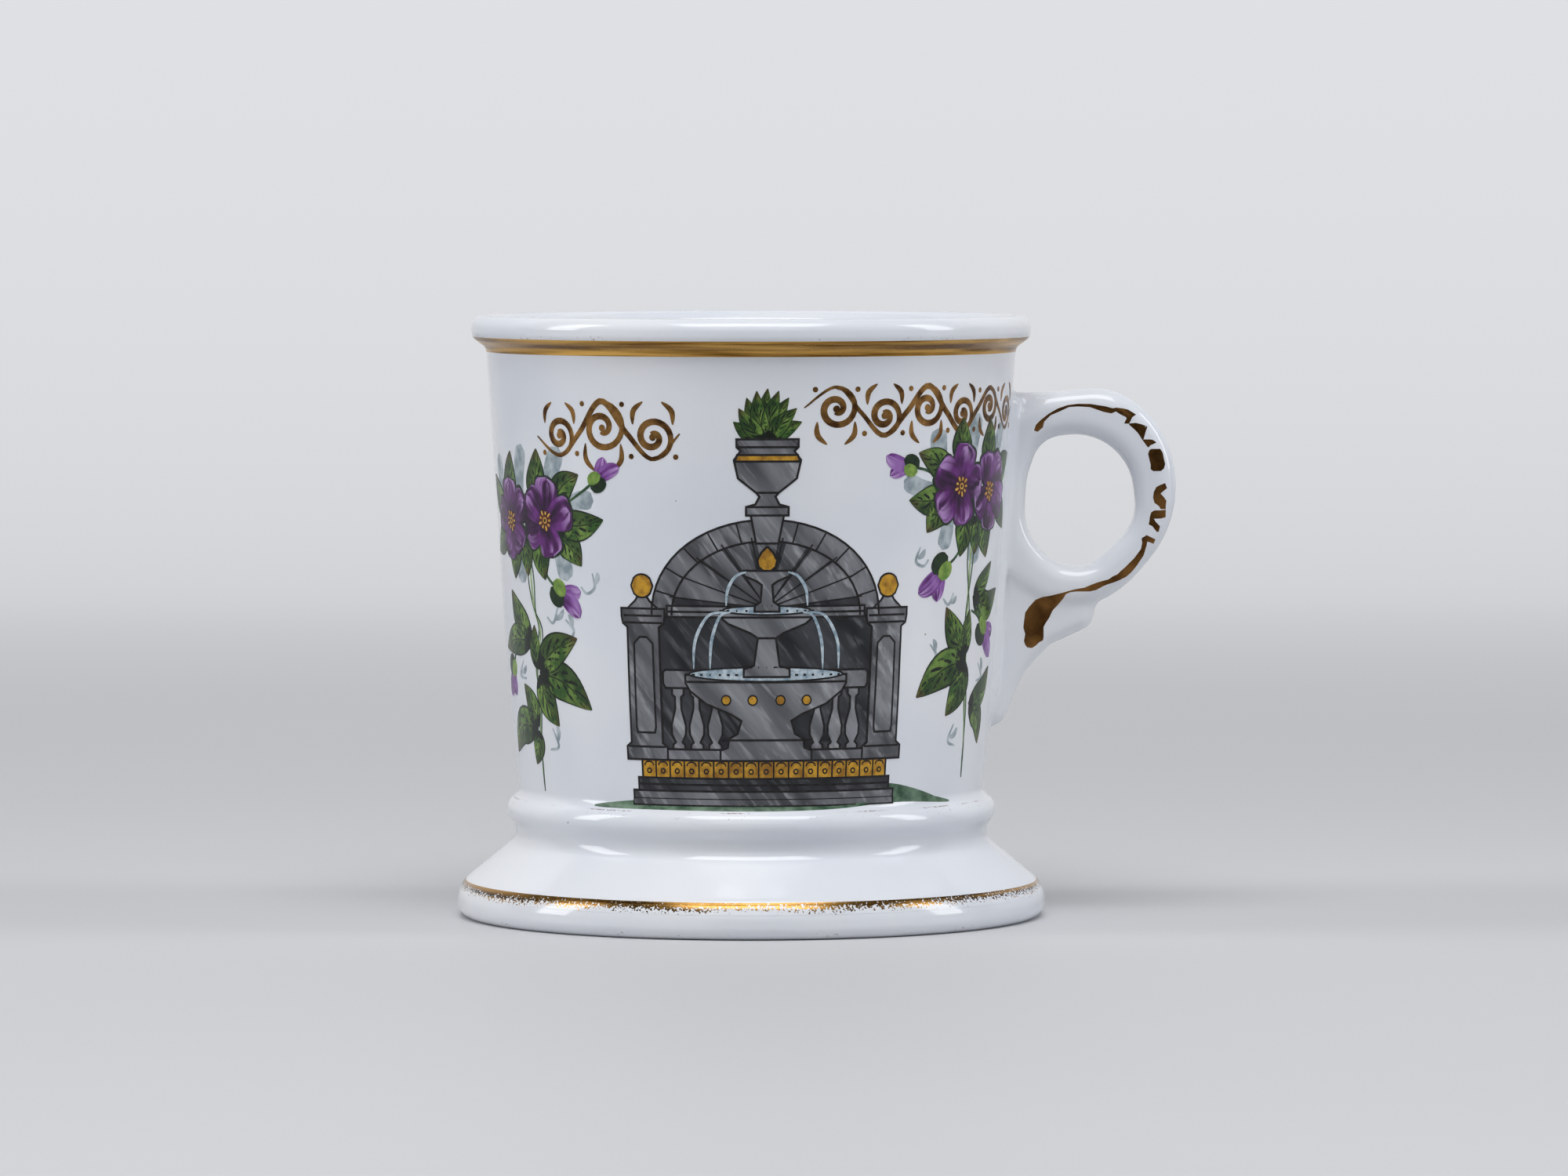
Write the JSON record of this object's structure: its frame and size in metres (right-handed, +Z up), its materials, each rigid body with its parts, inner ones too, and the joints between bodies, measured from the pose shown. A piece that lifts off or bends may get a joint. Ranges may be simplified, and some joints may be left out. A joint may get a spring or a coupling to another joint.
{
  "type": "occupational shaving mug",
  "caption": "Footed china shaving mug with a flat cast handle: finger ring, spur and tail, rolled gilt rim, painted front with flower sprays and gold scrolls.",
  "frame": {"origin": "centre of the foot ring, where the mug's axis meets the table", "axes": "+Z up along the mug's axis, +X towards the handle, -Y towards the painted front"},
  "size_m": [0.1137, 0.093, 0.095],
  "materials": {
    "china": "gloss"
  },
  "bodies": {
    "root": {"mug": "china"}
  },
  "joints": []
}
